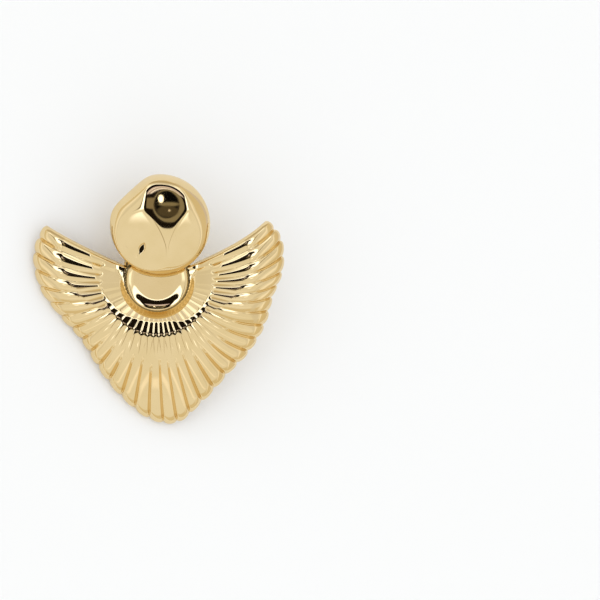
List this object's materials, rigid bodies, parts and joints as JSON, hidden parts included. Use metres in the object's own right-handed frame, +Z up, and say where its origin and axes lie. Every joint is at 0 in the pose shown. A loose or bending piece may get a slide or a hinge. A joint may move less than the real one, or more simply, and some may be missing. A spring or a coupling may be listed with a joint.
{
  "type": "fan stud earring",
  "caption": "Gold-coloured stud earring: a hammered round stud over a polished button, in the root of a ribbed fan with raised wings.",
  "frame": {"origin": "centre of the bottom of the bounding box, on the surface that the earring lies on", "axes": "+Z up from that surface, +Y from the fan's tail towards the stud head, +X from the left wing to the right wing as seen from the front"},
  "size_m": [0.0434, 0.0442, 0.0161],
  "materials": {
    "fan_gold": "polished plating over a cast shell, smoother on the ribs' backs than in their valleys",
    "button_gold": "mirror-polished plating",
    "head_gold": "mirror-polished plating over soft hammered facets",
    "post_gold": "plated drawn wire, bright"
  },
  "bodies": {
    "root": {"fan": "fan_gold", "fan_button": "button_gold", "stud_head": "head_gold", "ear_post": "post_gold"}
  },
  "joints": []
}
